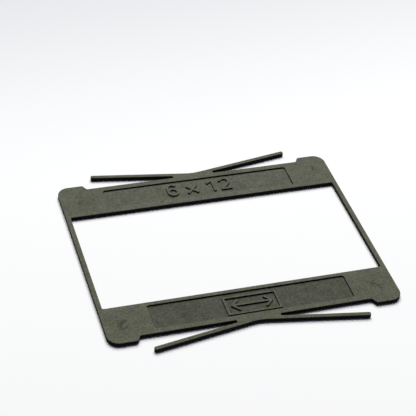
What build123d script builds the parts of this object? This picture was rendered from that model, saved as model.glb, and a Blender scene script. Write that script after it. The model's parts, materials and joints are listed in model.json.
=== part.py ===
"""Negative carrier for a 6 x 12 film gate, in millimetres.

The real carrier is one flat print, so the whole print is drawn first, with its outline, film gate,
label recesses and soft edges, and each named member is then cut from it, so that members meet face
to face. The origin is the centre of the underside, X runs along the long side, +Y points to the
rear rail and +Z is up.
"""

import os
from math import cos, radians, sin, tan

from build123d import *

os.makedirs("parts", exist_ok=True)

# Film gate and frame
gate_length = 114.2
gate_height = 56.0
gate_corner_radius = 0.6
side_bar_width = 2.0
thickness = 1.7
outer_length = gate_length + 2 * side_bar_width

# Corner lugs stand out past the rails and find the seat
lug_span = 95.4
middle_span = 90.3
lug_step_inner_x = 46.5
lug_step_outer_x = 47.9
lug_step_radius = 0.8
outer_corner_radius = 4.8

# Recesses that hold the labels, one in each rail
recess_length = 80.6
recess_height = 12.8
recess_middle_y = 36.2
recess_corner_radius = 1.0
recess_depth = 0.6
level_margin = 0.1
panel_top = thickness - recess_depth

# Spring arms, leaning out from a yoke on each rail
arm_width = 1.8
arm_splay = 9.5
arm_root_x = 8.8
arm_root_y = 47.25
arm_reach_x = 43.1
arm_tip_radius = 0.7
slit_end_radius = 0.45
yoke_blend_radius = 18.0
pivot_share = 0.15
socket_gap = 0.15
root_cut_height = 4.6

# Every outer edge of the print is softened a little
edge_radius = 0.2
rim_radius = 0.12

# Where the members are cut apart
corner_cut_x = 45.5
yoke_half_length = 10.0
yoke_inner_y = 43.8
beyond = 5.0

# Raised labels: size numerals on the rear panel, a direction mark on the front one
stroke = 1.0
numeral_height = 7.7
numeral_base_y = 33.3
six_middle_x = -11.35
six_radius = 2.0
six_hook_end = 35.0
times_middle_x = -2.9
times_width = 5.5
times_height = 5.8
one_flag_x = 3.9
one_flag_rise = 5.3
one_stem_x = 6.5
two_left_x = 9.3
two_right_x = 14.1
two_middle_x = 11.6
two_radius = 2.0
two_hook_start = 165.0
two_hook_end = -48.0
mark_length = 21.8
mark_height = 10.0
mark_middle_y = -36.95
mark_line = 0.8
arrow_half_length = 8.0
arrow_head = 2.7

# Directions and places along an arm, for the rear right one
splay = radians(arm_splay)
arm_length = (arm_reach_x - arm_root_x) / cos(splay)
half_width = arm_width / 2
edge_rise = half_width / cos(splay)
yoke_vertex_y = arm_root_y + edge_rise - arm_root_x * tan(splay)
pivot_x = arm_root_x + pivot_share * arm_length * cos(splay)
pivot_y = arm_root_y + pivot_share * arm_length * sin(splay)
tip_x = arm_root_x + arm_length * cos(splay)
tip_y = arm_root_y + arm_length * sin(splay)

half_lug = lug_span / 2
half_middle = middle_span / 2
half_outer = outer_length / 2
half_gate = gate_height / 2
slice_height = thickness + 2 * beyond

SIDES = {"left": -1, "right": 1}
ENDS = {"front": -1, "rear": 1}

# The outline of the right rear quarter, from the yoke out to the side bar, with its corner radii
quarter_points = [
    (tip_x - half_width * sin(splay), tip_y + half_width * cos(splay)),
    (tip_x + half_width * sin(splay), tip_y - half_width * cos(splay)),
    (arm_root_x, arm_root_y - edge_rise),
    (arm_root_x, half_middle),
    (lug_step_inner_x, half_middle),
    (lug_step_outer_x, half_lug),
    (half_outer, half_lug),
]
quarter_radii = [
    arm_tip_radius,
    arm_tip_radius,
    slit_end_radius,
    slit_end_radius,
    lug_step_radius,
    lug_step_radius,
    outer_corner_radius,
]
left_points = [(-x, y) for x, y in reversed(quarter_points)]
outline_points = left_points + [(0, yoke_vertex_y)] + quarter_points
outline_radii = quarter_radii[::-1] + [yoke_blend_radius] + quarter_radii


# The whole print: outline, film gate, softened edges and the two label recesses
with BuildPart() as whole_print:
    with BuildSketch():
        with BuildLine():
            FilletPolyline(
                (-half_outer, 0), *outline_points, (half_outer, 0), radius=outline_radii
            )
            Line((half_outer, 0), (-half_outer, 0))
        make_face()
        mirror(about=Plane.XZ)
        RectangleRounded(gate_length, gate_height, gate_corner_radius, mode=Mode.SUBTRACT)
    extrude(amount=thickness)
    flat_faces = whole_print.faces().filter_by(Axis.Z)
    fillet(flat_faces.edges(), radius=edge_radius)
    with BuildSketch(Plane.XY.offset(thickness)):
        with Locations((0, recess_middle_y), (0, -recess_middle_y)):
            RectangleRounded(recess_length, recess_height, recess_corner_radius)
    extrude(amount=-recess_depth, mode=Mode.SUBTRACT)
    recess_walls = whole_print.faces().filter_by_position(
        Axis.Z, panel_top + level_margin, thickness - level_margin
    )
    rims = recess_walls.edges().group_by(Axis.Z)[-1]
    fillet(rims, radius=rim_radius)


# Side bars, the two thin members beside the gate
for side, sx in SIDES.items():
    with BuildPart() as side_bar:
        add(whole_print.part)
        with BuildSketch(Plane.XY.offset(-beyond)):
            with Locations((sx * half_outer, 0)):
                Rectangle(4 * side_bar_width, gate_height)
        extrude(amount=slice_height, mode=Mode.INTERSECT)
    side_bar.part.label = f"{side}_side_bar"
    export_step(side_bar.part, f"parts/{side}_side_bar.step")


# Corner lugs, the plates that join rails to side bars and find the seat
for end, sy in ENDS.items():
    for side, sx in SIDES.items():
        with BuildPart() as corner_lug:
            add(whole_print.part)
            with BuildSketch(Plane.XY.offset(-beyond)):
                with BuildLine():
                    Polyline(
                        (sx * corner_cut_x, sy * half_gate),
                        (sx * (half_outer + beyond), sy * half_gate),
                        (sx * (half_outer + beyond), sy * (half_lug + beyond)),
                        (sx * corner_cut_x, sy * (half_lug + beyond)),
                        close=True,
                    )
                make_face()
            extrude(amount=slice_height, mode=Mode.INTERSECT)
        corner_lug.part.label = f"{end}_{side}_corner_lug"
        export_step(corner_lug.part, f"parts/{end}_{side}_corner_lug.step")


# Rails, each a frame round its label panel with a notch for the yoke
for end, sy in ENDS.items():
    rail_middle_y = sy * (half_gate + half_middle) / 2
    with BuildPart() as rail:
        add(whole_print.part)
        with BuildSketch(Plane.XY.offset(-beyond)):
            with Locations((0, rail_middle_y)):
                Rectangle(2 * corner_cut_x, half_middle - half_gate)
            with Locations((0, sy * half_middle)):
                Rectangle(
                    2 * yoke_half_length, 2 * (half_middle - yoke_inner_y), mode=Mode.SUBTRACT
                )
            with Locations((0, sy * recess_middle_y)):
                RectangleRounded(
                    recess_length, recess_height, recess_corner_radius, mode=Mode.SUBTRACT
                )
        extrude(amount=slice_height, mode=Mode.INTERSECT)
    rail.part.label = f"{end}_rail"
    export_step(rail.part, f"parts/{end}_rail.step")


# Label panels, the thinner floors of the recesses
for end, sy in ENDS.items():
    with BuildPart() as label_panel:
        with BuildSketch():
            with Locations((0, sy * recess_middle_y)):
                RectangleRounded(recess_length, recess_height, recess_corner_radius)
        extrude(amount=panel_top)
    label_panel.part.label = f"{end}_label_panel"
    export_step(label_panel.part, f"parts/{end}_label_panel.step")


# Spring yokes, the raised middles of the rails that carry both arms
for end, sy in ENDS.items():
    with BuildPart() as spring_yoke:
        add(whole_print.part)
        with BuildSketch(Plane.XY.offset(-beyond)):
            with Locations((0, sy * (yoke_inner_y + beyond))):
                Rectangle(2 * yoke_half_length, 2 * beyond)
        extrude(amount=slice_height, mode=Mode.INTERSECT)
    spring_yoke.part.label = f"{end}_spring_yoke"
    export_step(spring_yoke.part, f"parts/{end}_spring_yoke.step")


# Each arm is a short root that stays with its yoke, and a leaf that swings about the pivot point
for end, sy in ENDS.items():
    for side, sx in SIDES.items():
        pivot = (sx * pivot_x, sy * pivot_y)
        along = (sx * cos(splay), sy * sin(splay))
        past_pivot = Plane(origin=(*pivot, -beyond), x_dir=(*along, 0), z_dir=(0, 0, 1))

        with BuildPart() as spring_root:
            add(whole_print.part)
            with BuildSketch(Plane.XY.offset(-beyond)):
                with Locations((sx * (yoke_half_length + pivot_x) / 2, sy * pivot_y)):
                    Rectangle(pivot_x - yoke_half_length, root_cut_height)
                with Locations(pivot):
                    Circle(half_width + socket_gap, mode=Mode.SUBTRACT)
            extrude(amount=slice_height, mode=Mode.INTERSECT)
        spring_root.part.label = f"{end}_{side}_spring_root"
        export_step(spring_root.part, f"parts/{end}_{side}_spring_root.step")

        with BuildPart() as spring_arm:
            add(whole_print.part)
            with BuildSketch(past_pivot):
                with Locations((arm_length / 2, 0)):
                    Rectangle(arm_length, arm_width)
                Circle(half_width)
            extrude(amount=slice_height, mode=Mode.INTERSECT)
        spring_arm.part.label = f"{end}_{side}_spring_arm"
        export_step(spring_arm.part, f"parts/{end}_{side}_spring_arm.step")


# Raised size numerals on the rear panel: plain strokes that read 6 x 12
half_stroke = stroke / 2
low_line_y = numeral_base_y + half_stroke
high_line_y = numeral_base_y + numeral_height - half_stroke
bowl_y = low_line_y + six_radius
six_hook_y = high_line_y - six_radius
two_hook_y = high_line_y - two_radius
times_middle_y = numeral_base_y + times_height / 2
times_reach_x = (times_width - stroke) / 2
times_reach_y = (times_height - stroke) / 2

with BuildPart() as size_numerals:
    with BuildSketch(Plane.XY.offset(panel_top)):
        with Locations((six_middle_x, bowl_y)):
            Circle(six_radius + half_stroke)
            Circle(six_radius - half_stroke, mode=Mode.SUBTRACT)
        with BuildLine():
            Line((six_middle_x - six_radius, bowl_y), (six_middle_x - six_radius, six_hook_y))
            CenterArc((six_middle_x, six_hook_y), six_radius, 180, six_hook_end - 180)
        trace(line_width=stroke)
        for slope in (-1, 1):
            with BuildLine():
                Line(
                    (times_middle_x - times_reach_x, times_middle_y - slope * times_reach_y),
                    (times_middle_x + times_reach_x, times_middle_y + slope * times_reach_y),
                )
            trace(line_width=stroke)
        with BuildLine():
            Line((one_flag_x, numeral_base_y + one_flag_rise), (one_stem_x, high_line_y))
        trace(line_width=stroke)
        with BuildLine():
            Line((one_stem_x, numeral_base_y), (one_stem_x, numeral_base_y + numeral_height))
        trace(line_width=stroke)
        with BuildLine():
            hook = CenterArc(
                (two_middle_x, two_hook_y),
                two_radius,
                two_hook_start,
                two_hook_end - two_hook_start,
            )
            Line(hook @ 1, (two_left_x + half_stroke, low_line_y))
        trace(line_width=stroke)
        with BuildLine():
            Line((two_left_x, low_line_y), (two_right_x, low_line_y))
        trace(line_width=stroke)
    extrude(amount=recess_depth)
size_numerals.part.label = "size_numerals"
export_step(size_numerals.part, "parts/size_numerals.step")


# Raised direction mark on the front panel: a plain box with a double-headed arrow
with BuildPart() as direction_mark:
    with BuildSketch(Plane.XY.offset(panel_top)):
        with Locations((0, mark_middle_y)):
            Rectangle(mark_length, mark_height)
            Rectangle(mark_length - 2 * mark_line, mark_height - 2 * mark_line, mode=Mode.SUBTRACT)
        with BuildLine():
            Line((-arrow_half_length, mark_middle_y), (arrow_half_length, mark_middle_y))
        trace(line_width=mark_line)
        for side, sx in SIDES.items():
            with BuildLine():
                Polyline(
                    (sx * (arrow_half_length - arrow_head), mark_middle_y + arrow_head),
                    (sx * arrow_half_length, mark_middle_y),
                    (sx * (arrow_half_length - arrow_head), mark_middle_y - arrow_head),
                )
            trace(line_width=mark_line)
    extrude(amount=recess_depth)
direction_mark.part.label = "direction_mark"
export_step(direction_mark.part, "parts/direction_mark.step")

print("arm length", round(arm_length, 2), "tip", round(tip_x, 3), round(tip_y, 3))
print("pivot", round(pivot_x, 3), round(pivot_y, 3))
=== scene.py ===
"""Looks, light and camera for a flat printed negative carrier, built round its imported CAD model.

Lengths are in metres. X runs along the film gate, +Y points to the rear rail and +Z is up.
"""

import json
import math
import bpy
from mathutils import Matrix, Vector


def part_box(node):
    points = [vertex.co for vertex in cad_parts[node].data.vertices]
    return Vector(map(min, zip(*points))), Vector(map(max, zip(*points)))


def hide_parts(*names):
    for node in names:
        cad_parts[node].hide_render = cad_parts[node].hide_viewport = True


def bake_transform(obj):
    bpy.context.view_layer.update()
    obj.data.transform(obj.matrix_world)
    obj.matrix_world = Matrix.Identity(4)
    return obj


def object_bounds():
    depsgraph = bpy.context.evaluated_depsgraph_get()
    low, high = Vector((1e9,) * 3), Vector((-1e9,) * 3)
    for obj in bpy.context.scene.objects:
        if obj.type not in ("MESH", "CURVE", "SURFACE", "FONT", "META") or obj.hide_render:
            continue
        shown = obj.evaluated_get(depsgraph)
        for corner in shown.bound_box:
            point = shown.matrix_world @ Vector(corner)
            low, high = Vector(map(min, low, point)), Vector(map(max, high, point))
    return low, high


bl_info = {
    "name": "Negative carrier",
    "version": (1, 0, 0),
    "blender": (4, 5, 0),
    "location": "3D View > Sidebar > Carrier",
    "description": "Finishes a printed negative carrier and bends its spring arms",
    "category": "Object",
}

import bmesh
import bpy
from bpy.props import FloatProperty, FloatVectorProperty, IntProperty, PointerProperty
from mathutils import Matrix, Vector

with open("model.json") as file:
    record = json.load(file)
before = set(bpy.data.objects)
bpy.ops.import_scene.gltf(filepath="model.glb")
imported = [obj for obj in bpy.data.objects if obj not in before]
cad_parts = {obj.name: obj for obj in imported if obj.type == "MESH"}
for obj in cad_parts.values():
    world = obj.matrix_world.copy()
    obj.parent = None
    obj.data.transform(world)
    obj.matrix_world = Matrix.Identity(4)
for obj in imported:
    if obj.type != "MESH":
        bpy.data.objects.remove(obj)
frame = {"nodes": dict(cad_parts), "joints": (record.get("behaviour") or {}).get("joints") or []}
CAD_LOW, CAD_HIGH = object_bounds()

MM = 0.001
FRAME_WORDS = ("rail", "side_bar", "corner_lug", "spring_yoke")
LABEL_WORDS = ("size_numerals", "direction_mark")
ARM_JOINTS = {joint["child"]: joint for joint in frame["joints"]}


# ---------------------------------------------------------------------------------------------
# Sizes and colours that a user would change


class PrintSettings(bpy.types.PropertyGroup):
    """Colours and surface of the printed plastic"""

    olive_colour: FloatVectorProperty(
        name="Olive colour",
        description="Colour of the plastic where its green shows most",
        subtype="COLOR",
        min=0.0,
        max=1.0,
        default=(0.056, 0.061, 0.022),
    )
    grey_colour: FloatVectorProperty(
        name="Grey colour",
        description="Colour of the plastic where it looks greyest",
        subtype="COLOR",
        min=0.0,
        max=1.0,
        default=(0.053, 0.057, 0.033),
    )
    # Painted shade: the upright walls get this near-black colour, far darker than the flat faces;
    # their layer lines are real.
    painted_shade_wall_colour: FloatVectorProperty(
        name="Wall colour",
        description="Colour of the upright walls, where the layers' edges show",
        subtype="COLOR",
        min=0.0,
        max=1.0,
        default=(0.002, 0.002, 0.0015),
    )
    # Painted highlight: the rounded rims get this lighter warm colour, as if they caught the light.
    painted_rim_highlight: FloatVectorProperty(
        name="Rim colour",
        description="Warm brown of the rounded rims, where the plastic is rubbed",
        subtype="COLOR",
        min=0.0,
        max=1.0,
        default=(0.09, 0.068, 0.038),
    )
    # Partly painted highlight: the bumps where beads turn back are real, and their pale colour is a
    # painted glint.
    painted_speck_glint: FloatVectorProperty(
        name="Speck colour",
        description="Pale grey of the small strokes where beads turn back",
        subtype="COLOR",
        min=0.0,
        max=1.0,
        default=(0.15, 0.155, 0.14),
    )
    # Painted shade: the label panels' colour is darkened, the front panel much more than the rear
    # one.
    front_panel_painted_shade: FloatProperty(
        name="Front panel tone",
        description="Brightness of the front label panel's colour beside the frame's",
        subtype="FACTOR",
        min=0.0,
        max=2.0,
        default=0.66,
    )
    rear_panel_painted_shade: FloatProperty(
        name="Rear panel tone",
        description="Brightness of the rear label panel's colour beside the frame's",
        subtype="FACTOR",
        min=0.0,
        max=2.0,
        default=0.92,
    )
    sheen: FloatProperty(
        name="Sheen",
        description="Strength of the frame's dull shine",
        subtype="FACTOR",
        min=0.0,
        max=1.0,
        default=0.36,
    )
    front_panel_sheen: FloatProperty(
        name="Front panel sheen",
        description="Strength of the front label panel's dull shine",
        subtype="FACTOR",
        min=0.0,
        max=1.0,
        default=0.28,
    )
    grain_size: FloatProperty(
        name="Grain size",
        description="Width of the fine grain on the flat faces",
        subtype="DISTANCE",
        unit="LENGTH",
        default=0.8 * MM,
        precision=5,
    )
    grain_depth: FloatProperty(
        name="Grain depth",
        description="Height of the fine grain",
        subtype="DISTANCE",
        unit="LENGTH",
        default=0.01 * MM,
        precision=6,
    )
    grain_contrast: FloatProperty(
        name="Grain contrast",
        description="How much the fine grain lightens and darkens the colour",
        subtype="FACTOR",
        min=0.0,
        max=4.0,
        default=2.2,
    )
    layer_height: FloatProperty(
        name="Layer height",
        description="Height of one printed layer, seen as lines on the walls",
        subtype="DISTANCE",
        unit="LENGTH",
        default=0.2 * MM,
        precision=5,
    )
    bead_width: FloatProperty(
        name="Bead width",
        description="Width of one bead of filament on a flat face",
        subtype="DISTANCE",
        unit="LENGTH",
        default=0.6 * MM,
        precision=5,
    )
    roughness: FloatProperty(
        name="Roughness",
        description="Roughness of the plastic between smudges",
        subtype="FACTOR",
        min=0.0,
        max=1.0,
        default=0.68,
    )


class ArmSettings(bpy.types.PropertyGroup):
    """Shape of the four spring arms"""

    width: FloatProperty(
        name="Width",
        description="Width of an arm, seen from above",
        subtype="DISTANCE",
        unit="LENGTH",
        default=1.8 * MM,
        precision=5,
    )
    splay: FloatProperty(
        name="Splay",
        description="Angle at which an arm leans away from its rail",
        subtype="ANGLE",
        default=math.radians(9.5),
    )
    tip_radius: FloatProperty(
        name="Tip radius",
        description="Radius of the corners at an arm's tip",
        subtype="DISTANCE",
        unit="LENGTH",
        default=0.7 * MM,
        precision=5,
    )
    edge_radius: FloatProperty(
        name="Edge radius",
        description="Radius of the arm's long edges",
        subtype="DISTANCE",
        unit="LENGTH",
        default=0.2 * MM,
        precision=5,
    )
    bend_reach: FloatProperty(
        name="Bend reach",
        description="How far past its pivot an arm still bends",
        subtype="DISTANCE",
        unit="LENGTH",
        default=12.0 * MM,
        precision=4,
    )
    cross_cuts: IntProperty(
        name="Cross cuts",
        description="Cuts across an arm, so that it bends smoothly",
        default=40,
        min=8,
        max=200,
    )


class StageSettings(bpy.types.PropertyGroup):
    """Floor, light and camera"""

    floor_size: FloatProperty(
        name="Floor size",
        description="Side of the square floor",
        subtype="DISTANCE",
        unit="LENGTH",
        default=6.0,
    )
    floor_colour: FloatVectorProperty(
        name="Floor colour",
        description="Colour of the pale floor under the carrier",
        subtype="COLOR",
        min=0.0,
        max=1.0,
        default=(0.965, 0.965, 0.95),
    )
    # Painted shade: the floor fades to this greyer colour behind the carrier.
    far_floor_painted_shade: FloatVectorProperty(
        name="Far floor colour",
        description="Colour that the pale floor fades to behind the carrier",
        subtype="COLOR",
        min=0.0,
        max=1.0,
        default=(0.70, 0.705, 0.715),
    )
    key_power: FloatProperty(
        name="Key power",
        description="Power of the large soft light behind the carrier",
        subtype="POWER",
        unit="POWER",
        default=130.0,
    )
    key_size: FloatProperty(
        name="Key size",
        description="Side of the square soft light",
        subtype="DISTANCE",
        unit="LENGTH",
        default=2.2,
    )
    key_distance: FloatProperty(
        name="Key distance",
        description="Distance from the soft light to the carrier",
        subtype="DISTANCE",
        unit="LENGTH",
        default=3.0,
    )
    key_azimuth: FloatProperty(
        name="Key azimuth",
        description="Turn of the soft light round the carrier, from the front",
        subtype="ANGLE",
        default=math.radians(163),
    )
    key_elevation: FloatProperty(
        name="Key elevation",
        description="Height of the soft light above the carrier's plane",
        subtype="ANGLE",
        default=math.radians(52),
    )
    sky_strength: FloatProperty(
        name="Sky strength",
        description="Strength of the plain surroundings",
        default=0.06,
        min=0.0,
    )
    sky_colour: FloatVectorProperty(
        name="Sky colour",
        description="Colour of the plain surroundings, which tints the shadows",
        subtype="COLOR",
        min=0.0,
        max=1.0,
        default=(0.55, 0.62, 1.0),
    )
    view_azimuth: FloatProperty(
        name="View azimuth",
        description="Turn of the camera round the carrier, from the front",
        subtype="ANGLE",
        default=math.radians(-19.36),
    )
    view_elevation: FloatProperty(
        name="View elevation",
        description="Height of the camera above the carrier's plane",
        subtype="ANGLE",
        default=math.radians(38.65),
    )
    view_roll: FloatProperty(
        name="View roll",
        description="Turn of the camera about its own line of sight",
        subtype="ANGLE",
        default=math.radians(4.53),
    )
    view_distance: FloatProperty(
        name="View distance",
        description="Distance from the camera to the point that it looks at",
        subtype="DISTANCE",
        unit="LENGTH",
        default=0.598,
    )
    view_aim: FloatVectorProperty(
        name="View aim",
        description="Point that the camera looks at",
        subtype="XYZ",
        unit="LENGTH",
        default=(-0.0002, 0.0223, 0.0017),
    )
    lens: FloatProperty(
        name="Lens",
        description="Focal length on a 36 mm sensor, in millimetres",
        default=124.5,
        min=1.0,
    )


# ---------------------------------------------------------------------------------------------
# Shader nodes


def group_with(name, inputs, outputs):
    """A new shader node group with float inputs {name: default} and named float outputs."""
    group = bpy.data.node_groups.new(name, "ShaderNodeTree")
    for label, default in inputs.items():
        socket = group.interface.new_socket(
            name=label, in_out="INPUT", socket_type="NodeSocketFloat"
        )
        socket.default_value = default
    for label in outputs:
        group.interface.new_socket(name=label, in_out="OUTPUT", socket_type="NodeSocketFloat")
    entry = group.nodes.new("NodeGroupInput")
    leave = group.nodes.new("NodeGroupOutput")
    return group, entry.outputs, leave.inputs


def feed(tree, socket, value):
    """Links another socket to this one, or sets this one to a number or a colour."""
    if isinstance(value, bpy.types.NodeSocket):
        tree.links.new(value, socket)
    else:
        socket.default_value = value


def calculate(tree, operation, *values):
    """The result of a Math node whose inputs are sockets or numbers."""
    node = tree.nodes.new("ShaderNodeMath")
    node.operation = operation
    for socket, value in zip(node.inputs, values):
        feed(tree, socket, value)
    return node.outputs[0]


def coordinates(tree, output="Object"):
    """One vector output of a Texture Coordinate node, and its X, Y and Z."""
    vector = tree.nodes.new("ShaderNodeTexCoord").outputs[output]
    split = tree.nodes.new("ShaderNodeSeparateXYZ")
    tree.links.new(vector, split.inputs[0])
    return vector, split.outputs["X"], split.outputs["Y"], split.outputs["Z"]


def joined(tree, x, y, z):
    """A vector from three sockets or numbers."""
    node = tree.nodes.new("ShaderNodeCombineXYZ")
    for socket, value in zip(node.inputs, (x, y, z)):
        feed(tree, socket, value)
    return node.outputs[0]


def noise(tree, vector, scale, detail=2.0, roughness=0.5):
    """A Noise texture's value. scale is a socket or a number."""
    node = tree.nodes.new("ShaderNodeTexNoise")
    node.inputs["Detail"].default_value = detail
    node.inputs["Roughness"].default_value = roughness
    tree.links.new(vector, node.inputs["Vector"])
    feed(tree, node.inputs["Scale"], scale)
    return node.outputs["Fac"]


def remap(tree, value, low, high, to_low=0.0, to_high=1.0):
    """A socket's value taken from low..high to to_low..to_high, and held inside it."""
    node = tree.nodes.new("ShaderNodeMapRange")
    node.clamp = True
    node.interpolation_type = "SMOOTHSTEP"
    tree.links.new(value, node.inputs["Value"])
    limits = {"From Min": low, "From Max": high, "To Min": to_low, "To Max": to_high}
    for label, number in limits.items():
        node.inputs[label].default_value = number
    return node.outputs["Result"]


def ridges(tree, turns):
    """A row of rounded ridges between 0 and 1, each one unit of turns wide."""
    angle = calculate(tree, "MULTIPLY", turns, math.pi)
    return calculate(tree, "ABSOLUTE", calculate(tree, "SINE", angle))


def mixed_colour(tree, factor, first, second):
    """A colour between first at factor 0 and second at factor 1. Both are sockets or colours."""
    node = tree.nodes.new("ShaderNodeMix")
    node.data_type = "RGBA"
    sockets = [socket for socket in node.inputs if socket.enabled]
    tree.links.new(factor, sockets[0])
    for socket, value in zip(sockets[1:], (first, second)):
        is_socket = isinstance(value, bpy.types.NodeSocket)
        feed(tree, socket, value if is_socket else (*value, 1.0))
    return next(socket for socket in node.outputs if socket.enabled)


def lightened(tree, colour, factor):
    """A colour socket multiplied by the factor in another socket."""
    node = tree.nodes.new("ShaderNodeVectorMath")
    node.operation = "SCALE"
    tree.links.new(colour, node.inputs[0])
    tree.links.new(factor, node.inputs["Scale"])
    return node.outputs[0]


def use_group(tree, group, **values):
    """The outputs of a group placed in tree. A value's name has _ for each space."""
    node = tree.nodes.new("ShaderNodeGroup")
    node.node_tree = group
    for label, value in values.items():
        node.inputs[label.replace("_", " ")].default_value = value
    return node.outputs


# ---------------------------------------------------------------------------------------------
# Shader node groups that the materials share


def grain_group():
    """Fine grain: Tone is about 1 and tints a colour, Hue is 0 to 1, Height goes to a Bump node."""
    group, given, wanted = group_with(
        "fine_grain", {"Size": 0.8 * MM, "Contrast": 0.8}, ("Tone", "Hue", "Height")
    )
    cloud_share = 0.3
    usual_noise = 0.5
    usual_sum = usual_noise * (1 + cloud_share)
    place = coordinates(group)[0]
    scale = calculate(group, "DIVIDE", 1.0, given["Size"])
    cloud_scale = calculate(group, "MULTIPLY", scale, 0.22)
    hue_scale = calculate(group, "MULTIPLY", scale, 0.35)
    fine = noise(group, place, scale, detail=4.0, roughness=0.65)
    clouds = noise(group, place, cloud_scale, detail=3.0, roughness=0.55)
    together = calculate(group, "ADD", fine, calculate(group, "MULTIPLY", clouds, cloud_share))
    swing = calculate(group, "SUBTRACT", together, usual_sum)
    tone = calculate(group, "MULTIPLY_ADD", swing, given["Contrast"], 1.0)
    hue = noise(group, place, hue_scale)
    group.links.new(tone, wanted["Tone"])
    group.links.new(remap(group, hue, low=0.38, high=0.62), wanted["Hue"])
    group.links.new(fine, wanted["Height"])
    return group


def wall_group():
    """Upright walls: Wall is 1 on them and places the painted shade, Rim is 1 on rounded rims and
    places the painted highlight, Height holds layer lines.
    """
    group, given, wanted = group_with(
        "layered_walls", {"Layer height": 0.2 * MM}, ("Wall", "Rim", "Height")
    )
    upright_below, sloping_below = 0.25, 0.7
    rim_below, flat_above = 0.9, 0.995
    z = coordinates(group)[3]
    facing_up = calculate(group, "ABSOLUTE", coordinates(group, "Normal")[3])
    wall = remap(group, facing_up, upright_below, sloping_below, to_low=1.0, to_high=0.0)
    rim = remap(group, facing_up, rim_below, flat_above, to_low=1.0, to_high=0.0)
    layers = ridges(group, calculate(group, "DIVIDE", z, given["Layer height"]))
    group.links.new(wall, wanted["Wall"])
    group.links.new(rim, wanted["Rim"])
    group.links.new(calculate(group, "MULTIPLY", layers, wall), wanted["Height"])
    return group


def handling_group():
    """Handling marks: Mask is 1 in slanting smudges on the corner plates, faint elsewhere."""
    group, given, wanted = group_with(
        "handling_marks",
        {"Centre X": 50.5 * MM, "Centre Y": 37.5 * MM, "Reach": 6.5 * MM},
        ("Mask",),
    )
    narrowing = 1.5
    streak_stretch = 0.45
    streaks_per_metre = 300.0
    smears_per_metre = 90.0
    strongest_smear = 0.3
    place, x, y, _ = coordinates(group)
    off_x = calculate(group, "SUBTRACT", calculate(group, "ABSOLUTE", x), given["Centre X"])
    off_y = calculate(group, "SUBTRACT", calculate(group, "ABSOLUTE", y), given["Centre Y"])
    along = calculate(group, "ADD", off_x, off_y)
    across = calculate(group, "MULTIPLY", calculate(group, "SUBTRACT", off_x, off_y), narrowing)
    squares = calculate(
        group, "MULTIPLY_ADD", along, along, calculate(group, "MULTIPLY", across, across)
    )
    distance = calculate(group, "DIVIDE", calculate(group, "SQRT", squares), given["Reach"])
    near = remap(group, distance, low=0.3, high=1.2, to_low=1.0, to_high=0.0)
    slanted = joined(
        group,
        calculate(group, "SUBTRACT", x, y),
        calculate(group, "MULTIPLY", calculate(group, "ADD", x, y), streak_stretch),
        0.0,
    )
    streaks = noise(group, slanted, streaks_per_metre, detail=3.0, roughness=0.6)
    smears = noise(group, place, smears_per_metre, detail=3.0, roughness=0.6)
    broken = remap(group, streaks, low=0.42, high=0.6)
    faint = remap(group, smears, low=0.5, high=0.75, to_high=strongest_smear)
    mask = calculate(group, "MAXIMUM", calculate(group, "MULTIPLY", near, broken), faint)
    group.links.new(mask, wanted["Mask"])
    return group


def bead_group():
    """Slanting beads of filament on a flat face, seen in patches: Height is a row of ridges."""
    group, given, wanted = group_with("filament_beads", {"Width": 0.6 * MM}, ("Height",))
    wanders_per_metre = 300.0
    widest_wander = 0.15 * MM
    patches_per_metre = 75.0
    place, x, y, _ = coordinates(group)
    wander = calculate(group, "MULTIPLY", noise(group, place, wanders_per_metre), widest_wander)
    across = calculate(group, "MULTIPLY", calculate(group, "SUBTRACT", x, y), math.sqrt(0.5))
    turns = calculate(group, "DIVIDE", calculate(group, "ADD", across, wander), given["Width"])
    patches = noise(group, place, patches_per_metre, detail=3.0)
    patch = remap(group, patches, low=0.42, high=0.62)
    group.links.new(calculate(group, "MULTIPLY", ridges(group, turns), patch), wanted["Height"])
    return group


def speck_group():
    """Short strokes across a band along X where beads turn back: Mask is 1 on a stroke."""
    group, given, wanted = group_with(
        "bead_turns", {"Middle": 30.0 * MM, "Reach": 1.0 * MM, "Spacing": 0.9 * MM}, ("Mask",)
    )
    wanders_per_metre = 500.0
    widest_wander = 0.8 * MM
    patches_per_metre = 420.0
    faintest_stroke = 0.15
    place, x, y, _ = coordinates(group)
    wander = noise(group, place, wanders_per_metre, detail=1.0)
    wander = calculate(group, "MULTIPLY", wander, widest_wander)
    off = calculate(group, "SUBTRACT", calculate(group, "ABSOLUTE", y), given["Middle"])
    distance = calculate(group, "DIVIDE", calculate(group, "ABSOLUTE", off), given["Reach"])
    band = remap(group, distance, low=0.5, high=1.0, to_low=1.0, to_high=0.0)
    turns = calculate(group, "DIVIDE", calculate(group, "ADD", x, wander), given["Spacing"])
    stroke = remap(group, ridges(group, turns), low=0.72, high=0.95)
    patches = noise(group, place, patches_per_metre, detail=1.0)
    uneven = remap(group, patches, low=0.4, high=0.62, to_low=faintest_stroke)
    mask = calculate(group, "MULTIPLY", calculate(group, "MULTIPLY", band, stroke), uneven)
    group.links.new(mask, wanted["Mask"])
    return group


def shared_group(maker, name):
    """The node group of that name, which maker makes the first time it is asked for."""
    return bpy.data.node_groups.get(name) or maker()


# ---------------------------------------------------------------------------------------------
# Materials


def plastic_colour(tree, settings, grain, walls):
    """Colour of the flat faces, with a painted highlight on the rims and painted shade on the
    walls, before the grain lightens or darkens it.
    """
    flat = mixed_colour(tree, grain["Hue"], settings.olive_colour, settings.grey_colour)
    # Painted highlight on the rounded rims.
    rimmed = mixed_colour(tree, walls["Rim"], flat, settings.painted_rim_highlight)
    # Painted shade: the upright walls turn near black.
    return mixed_colour(tree, walls["Wall"], rimmed, settings.painted_shade_wall_colour)


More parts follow.
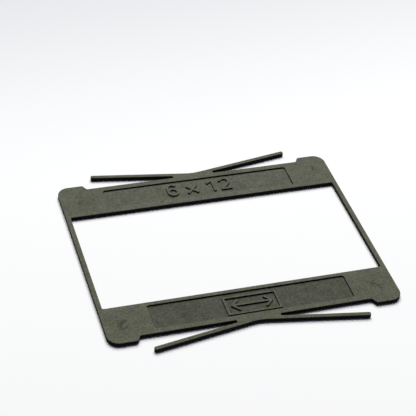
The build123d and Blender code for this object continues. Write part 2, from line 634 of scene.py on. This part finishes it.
def plastic_roughness(tree, settings, grain, walls, marks):
    """Roughness that rises in smudges and in the grain's dark spots, and is 1 on the walls."""
    smudge_roughness = 0.16
    grain_roughness = 0.15
    smudged = settings.roughness + smudge_roughness
    rough = remap(tree, marks["Mask"], 0.0, 1.0, settings.roughness, smudged)
    uneven = calculate(tree, "MULTIPLY_ADD", grain["Tone"], -grain_roughness, grain_roughness)
    return calculate(tree, "MAXIMUM", calculate(tree, "ADD", rough, uneven), walls["Wall"])


def printed_material(name, settings, tone=1.0, sheen=None, bead_depth=0.0, speck_bands=()):
    """Matte printed plastic with grain, handling marks and layered walls.

    sheen is the settings' own when it isn't given. tone scales the colour, and on the label
    panels it is painted shade. bead_depth shows slanting beads on the flat faces. speck_bands
    are (middle, reach, strength).
    """
    smudge_tone = 0.7
    layer_line_height = 0.02 * MM
    speck_height = 0.03 * MM
    groove_tone, ridge_tone = 0.96, 1.08

    material = bpy.data.materials.new(name)
    material.use_nodes = True
    tree = material.node_tree
    shader = tree.nodes["Principled BSDF"]
    shader.inputs["Metallic"].default_value = 0.0
    shader.inputs["IOR"].default_value = 1.49
    shader.inputs["Specular IOR Level"].default_value = settings.sheen if sheen is None else sheen

    grain = use_group(
        tree,
        shared_group(grain_group, "fine_grain"),
        Size=settings.grain_size,
        Contrast=settings.grain_contrast,
    )
    walls = use_group(
        tree, shared_group(wall_group, "layered_walls"), Layer_height=settings.layer_height
    )
    marks = use_group(tree, shared_group(handling_group, "handling_marks"))
    dulled = remap(tree, marks["Mask"], 0.0, 1.0, 1.0, smudge_tone)
    # On the label panels, tone is painted shade; the grain and the smudges are the plastic's own.
    light = calculate(tree, "MULTIPLY", grain["Tone"], tone)
    light = calculate(tree, "MULTIPLY", light, dulled)
    height = calculate(tree, "MULTIPLY", walls["Height"], layer_line_height)
    height = calculate(tree, "MULTIPLY_ADD", grain["Height"], settings.grain_depth, height)
    if bead_depth:
        beads = use_group(
            tree, shared_group(bead_group, "filament_beads"), Width=settings.bead_width
        )
        height = calculate(tree, "MULTIPLY_ADD", beads["Height"], bead_depth, height)
        stripes = remap(tree, beads["Height"], 0.0, 1.0, groove_tone, ridge_tone)
        light = calculate(tree, "MULTIPLY", light, stripes)
    speck = 0.0
    for middle, reach, strength in speck_bands:
        specks = use_group(
            tree, shared_group(speck_group, "bead_turns"), Middle=middle, Reach=reach
        )
        speck = calculate(tree, "MULTIPLY_ADD", specks["Mask"], strength, speck)
        height = calculate(tree, "MULTIPLY_ADD", specks["Mask"], speck_height, height)

    colour = lightened(tree, plastic_colour(tree, settings, grain, walls), light)
    # The specks' pale colour is a painted glint on the real bead-turn bumps.
    if speck_bands:
        colour = mixed_colour(tree, speck, colour, settings.painted_speck_glint)
    tree.links.new(colour, shader.inputs["Base Color"])
    rough = plastic_roughness(tree, settings, grain, walls, marks)
    tree.links.new(rough, shader.inputs["Roughness"])

    bump = tree.nodes.new("ShaderNodeBump")
    bump.inputs["Strength"].default_value = 1.0
    bump.inputs["Distance"].default_value = 1.0
    tree.links.new(height, bump.inputs["Height"])
    tree.links.new(bump.outputs["Normal"], shader.inputs["Normal"])
    return material


def floor_material(settings):
    """Pale matte paper with painted shade that greys it a little towards the back."""
    fade_from_y, fade_to_y = 0.04, 0.25
    material = bpy.data.materials.new("pale_floor")
    material.use_nodes = True
    tree = material.node_tree
    shader = tree.nodes["Principled BSDF"]
    # Painted shade: darker with distance towards the back.
    far = remap(tree, coordinates(tree)[2], fade_from_y, fade_to_y)
    colour = mixed_colour(tree, far, settings.floor_colour, settings.far_floor_painted_shade)
    tree.links.new(colour, shader.inputs["Base Color"])
    shader.inputs["Roughness"].default_value = 0.9
    shader.inputs["Specular IOR Level"].default_value = 0.2
    return material


def finish_nodes(words, material):
    """Gives the material to every CAD node whose name holds one of the words."""
    for name, node in frame["nodes"].items():
        if any(word in name for word in words):
            node.data.materials.clear()
            node.data.materials.append(material)


def panel_edges():
    """The rear panel's edges beside the gate and beside the yoke, as distances from the middle."""
    low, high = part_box("rear_label_panel")
    return low.y, high.y


def body_material(settings):
    """The frame's plastic, made once and shared by the frame and the arms."""
    name = "dark_print"
    off_recess = 0.6 * MM
    reach = 0.7 * MM
    strength = 0.5
    band = (panel_edges()[0] - off_recess, reach, strength)
    return bpy.data.materials.get(name) or printed_material(name, settings, speck_bands=(band,))


# ---------------------------------------------------------------------------------------------
# Operators


class CARRIER_OT_finish_frame(bpy.types.Operator):
    """Gives the rails, side bars, corner lugs and yokes their printed plastic"""

    bl_idname = "carrier.finish_frame"
    bl_label = "Finish frame"

    def execute(self, context):
        finish_nodes(FRAME_WORDS, body_material(context.scene.carrier_print))
        return {"FINISHED"}


class CARRIER_OT_finish_panels(bpy.types.Operator):
    """Gives the recessed label panels their plastic, darkened by painted shade, most on the front
    panel, with slanting fill lines
    """

    bl_idname = "carrier.finish_panels"
    bl_label = "Finish label panels"

    def execute(self, context):
        settings = context.scene.carrier_print
        bead_depth = 0.02 * MM
        inset, reach = 0.9 * MM, 1.4 * MM
        strength_at_gate, strength_at_yoke = 0.75, 0.3
        low, high = panel_edges()
        bands = (
            (low + inset, reach, strength_at_gate),
            (high - inset, reach, strength_at_yoke),
        )
        # Each panel's tone is painted shade that darkens its colour.
        for end, tone, sheen, speck_bands in (
            ("front", settings.front_panel_painted_shade, settings.front_panel_sheen, ()),
            ("rear", settings.rear_panel_painted_shade, settings.sheen, bands),
        ):
            material = printed_material(
                f"{end}_panel_print", settings, tone, sheen, bead_depth, speck_bands
            )
            finish_nodes((f"{end}_label_panel",), material)
        return {"FINISHED"}


class CARRIER_OT_finish_labels(bpy.types.Operator):
    """Gives the raised numerals and the direction mark their plastic"""

    bl_idname = "carrier.finish_labels"
    bl_label = "Finish raised labels"

    def execute(self, context):
        material = printed_material("label_print", context.scene.carrier_print, tone=0.95)
        finish_nodes(LABEL_WORDS, material)
        return {"FINISHED"}


def everything(bm):
    """All vertices, edges and faces of a bmesh."""
    return bm.verts[:] + bm.edges[:] + bm.faces[:]


def round_edges(bm, edges, radius, segments):
    """Rounds some edges of a bmesh."""
    bmesh.ops.bevel(
        bm,
        geom=edges,
        offset=radius,
        segments=segments,
        profile=0.5,
        affect="EDGES",
        material=-1,
    )


def outward(pivot):
    """The signs of X and Y on the pivot's side of the carrier."""
    return math.copysign(1, pivot.x), math.copysign(1, pivot.y)


def leaf_reach(arm, pivot, tip_x):
    """Length of a leaf from its pivot to its tip, whose outermost point lies at tip_x along X."""
    aside = math.sin(arm.splay) * (arm.width / 2 - arm.tip_radius)
    corner_centre = (tip_x - abs(pivot.x) - aside - arm.tip_radius) / math.cos(arm.splay)
    return corner_centre + arm.tip_radius


def straight_leaf(arm, reach, thickness):
    """A bmesh of a leaf along X with its pivot at X 0 and a plain end that lies in the yoke."""
    behind = 8.0 * MM
    tip_segments, edge_segments = 6, 4
    bm = bmesh.new()
    bmesh.ops.create_cube(bm, size=1.0)
    length = reach + behind
    bmesh.ops.scale(bm, vec=(length, arm.width, thickness), verts=bm.verts)
    bmesh.ops.translate(bm, vec=((reach - behind) / 2, 0, thickness / 2), verts=bm.verts)

    tip_edges = [e for e in bm.edges if all(v.co.x > reach - arm.edge_radius for v in e.verts)]
    upright = [e for e in tip_edges if abs(e.verts[0].co.z - e.verts[1].co.z) > thickness / 2]
    round_edges(bm, upright, arm.tip_radius, tip_segments)
    root_x = -behind
    level = [
        e
        for e in bm.edges
        if abs(e.verts[0].co.z - e.verts[1].co.z) < arm.edge_radius / 2
        and not all(v.co.x < root_x + arm.edge_radius for v in e.verts)
    ]
    round_edges(bm, level, arm.edge_radius, edge_segments)
    for step in range(1, arm.cross_cuts):
        x = root_x + (length - arm.tip_radius) * step / arm.cross_cuts
        bmesh.ops.bisect_plane(bm, geom=everything(bm), plane_co=(x, 0, 0), plane_no=(1, 0, 0))
    return bm


def leaf_mesh(arm, pivot, reach, cut_x, thickness):
    """A spring arm as one smooth leaf from the yoke's face at cut_x to its rounded tip."""
    weld_distance = 0.001 * MM
    bm = straight_leaf(arm, reach, thickness)
    side, end = outward(pivot)
    place = (
        Matrix.Translation((pivot.x, pivot.y, 0))
        @ Matrix.Diagonal((side, end, 1, 1))
        @ Matrix.Rotation(arm.splay, 4, "Z")
    )
    bmesh.ops.transform(bm, matrix=place, verts=bm.verts)
    cut = bmesh.ops.bisect_plane(
        bm,
        geom=everything(bm),
        plane_co=(side * cut_x, 0, 0),
        plane_no=(side, 0, 0),
        clear_inner=True,
    )
    rim = [e for e in cut["geom_cut"] if isinstance(e, bmesh.types.BMEdge)]
    bmesh.ops.edgeloop_fill(bm, edges=rim)
    bmesh.ops.remove_doubles(bm, verts=bm.verts, dist=weld_distance)
    bmesh.ops.recalc_face_normals(bm, faces=bm.faces)
    mesh = bpy.data.meshes.new("spring_leaf")
    bm.to_mesh(mesh)
    bm.free()
    return mesh


class CARRIER_OT_spring_arms(bpy.types.Operator):
    """Models the four spring arms, each as one smooth splayed leaf from its yoke to its rounded tip
    """

    bl_idname = "carrier.spring_arms"
    bl_label = "Model spring arms"

    def execute(self, context):
        arm = context.scene.carrier_arm
        material = body_material(context.scene.carrier_print)
        thickness = CAD_HIGH.z - CAD_LOW.z
        sharp_angle = math.radians(35)
        for body, joint in ARM_JOINTS.items():
            corner = body.removesuffix("_arm")
            name = f"{corner}_spring_arm"
            root = f"{corner}_spring_root"
            yoke = f"{corner.split('_')[0]}_spring_yoke"
            pivot = Vector(joint["pos_m"])
            low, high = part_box(name)
            tip_x = max(abs(low.x), abs(high.x))
            cut_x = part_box(yoke)[1].x
            mesh = leaf_mesh(arm, pivot, leaf_reach(arm, pivot, tip_x), cut_x, thickness)
            leaf = bpy.data.objects.new(f"{corner}_spring_leaf", mesh)
            context.scene.collection.objects.link(leaf)
            leaf.data.materials.append(material)
            leaf.data.shade_smooth()
            leaf.data.set_sharp_from_angle(angle=sharp_angle)
            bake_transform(leaf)
            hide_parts(name, root)
        return {"FINISHED"}


def add_soft_light(name, place, target, size, power):
    """Adds a white square light at place that faces target."""
    data = bpy.data.lights.new(name, "AREA")
    data.shape = "SQUARE"
    data.size = size
    data.energy = power
    light = bpy.data.objects.new(name, data)
    bpy.context.scene.collection.objects.link(light)
    light.location = place
    light.rotation_mode = "QUATERNION"
    light.rotation_quaternion = (target - place).to_track_quat("-Z", "Y")


def direction(azimuth, elevation):
    """Unit vector from the carrier towards a viewer or lamp; azimuth 0 is the front."""
    return Vector(
        (
            math.sin(azimuth) * math.cos(elevation),
            -math.cos(azimuth) * math.cos(elevation),
            math.sin(elevation),
        )
    )


def add_floor(settings):
    """Adds the square floor under the carrier."""
    bm = bmesh.new()
    bmesh.ops.create_grid(bm, x_segments=1, y_segments=1, size=settings.floor_size / 2)
    bmesh.ops.translate(bm, vec=(0, 0, CAD_LOW.z), verts=bm.verts)
    mesh = bpy.data.meshes.new("floor")
    bm.to_mesh(mesh)
    bm.free()
    floor = bpy.data.objects.new("floor", mesh)
    bpy.context.scene.collection.objects.link(floor)
    mesh.materials.append(floor_material(settings))


def set_surroundings(settings):
    """Surrounds the scene with one plain colour of light."""
    world = bpy.data.worlds.new("plain_surroundings")
    world.use_nodes = True
    background = world.node_tree.nodes["Background"]
    background.inputs["Color"].default_value = (*settings.sky_colour, 1.0)
    background.inputs["Strength"].default_value = settings.sky_strength
    bpy.context.scene.world = world


def add_camera(settings):
    """Adds the camera, level before the view's roll turns it about its line of sight."""
    aim = Vector(settings.view_aim)
    back = direction(settings.view_azimuth, settings.view_elevation)
    right = Vector((math.cos(settings.view_azimuth), math.sin(settings.view_azimuth), 0))
    level = Matrix((right, back.cross(right), back)).transposed()
    turn = level @ Matrix.Rotation(settings.view_roll, 3, "Z")
    data = bpy.data.cameras.new("camera")
    data.sensor_width = 36.0
    data.lens = settings.lens
    data.clip_start = 0.01
    data.clip_end = 20.0
    camera = bpy.data.objects.new("camera", data)
    bpy.context.scene.collection.objects.link(camera)
    camera.location = aim + back * settings.view_distance
    camera.rotation_mode = "QUATERNION"
    camera.rotation_quaternion = turn.to_quaternion()
    bpy.context.scene.camera = camera


class CARRIER_OT_stage(bpy.types.Operator):
    """Adds the pale floor, the soft light and the camera"""

    bl_idname = "carrier.stage"
    bl_label = "Set the stage"

    def execute(self, context):
        settings = context.scene.carrier_stage
        middle = (CAD_LOW + CAD_HIGH) / 2
        towards_key = direction(settings.key_azimuth, settings.key_elevation)
        key_place = middle + towards_key * settings.key_distance
        add_floor(settings)
        set_surroundings(settings)
        add_soft_light("key_light", key_place, middle, settings.key_size, settings.key_power)
        add_camera(settings)
        context.scene.view_settings.view_transform = "Standard"
        return {"FINISHED"}


class VIEW3D_PT_carrier(bpy.types.Panel):
    """Sidebar panel that lists the carrier's settings and steps"""

    bl_label = "Negative carrier"
    bl_space_type = "VIEW_3D"
    bl_region_type = "UI"
    bl_category = "Carrier"

    def draw(self, context):
        for heading, group, steps in (
            (
                "Printed plastic",
                context.scene.carrier_print,
                (CARRIER_OT_finish_frame, CARRIER_OT_finish_panels, CARRIER_OT_finish_labels),
            ),
            ("Spring arms", context.scene.carrier_arm, (CARRIER_OT_spring_arms,)),
            ("Stage", context.scene.carrier_stage, (CARRIER_OT_stage,)),
        ):
            box = self.layout.box()
            box.label(text=heading)
            for name in group.__annotations__:
                box.prop(group, name)
            for step in steps:
                box.operator(step.bl_idname)


SETTINGS = {
    "carrier_print": PrintSettings,
    "carrier_arm": ArmSettings,
    "carrier_stage": StageSettings,
}
OPERATORS = (
    CARRIER_OT_finish_frame,
    CARRIER_OT_finish_panels,
    CARRIER_OT_finish_labels,
    CARRIER_OT_spring_arms,
    CARRIER_OT_stage,
)


def register():
    for cls in (*SETTINGS.values(), *OPERATORS, VIEW3D_PT_carrier):
        bpy.utils.register_class(cls)
    for name, cls in SETTINGS.items():
        setattr(bpy.types.Scene, name, PointerProperty(type=cls))


def unregister():
    for name in SETTINGS:
        delattr(bpy.types.Scene, name)
    for cls in reversed((*SETTINGS.values(), *OPERATORS, VIEW3D_PT_carrier)):
        bpy.utils.unregister_class(cls)


def main():
    register()
    bpy.ops.carrier.finish_frame()
    bpy.ops.carrier.finish_panels()
    bpy.ops.carrier.finish_labels()
    bpy.ops.carrier.spring_arms()
    bpy.ops.carrier.stage()


if __name__ == "__main__":
    main()
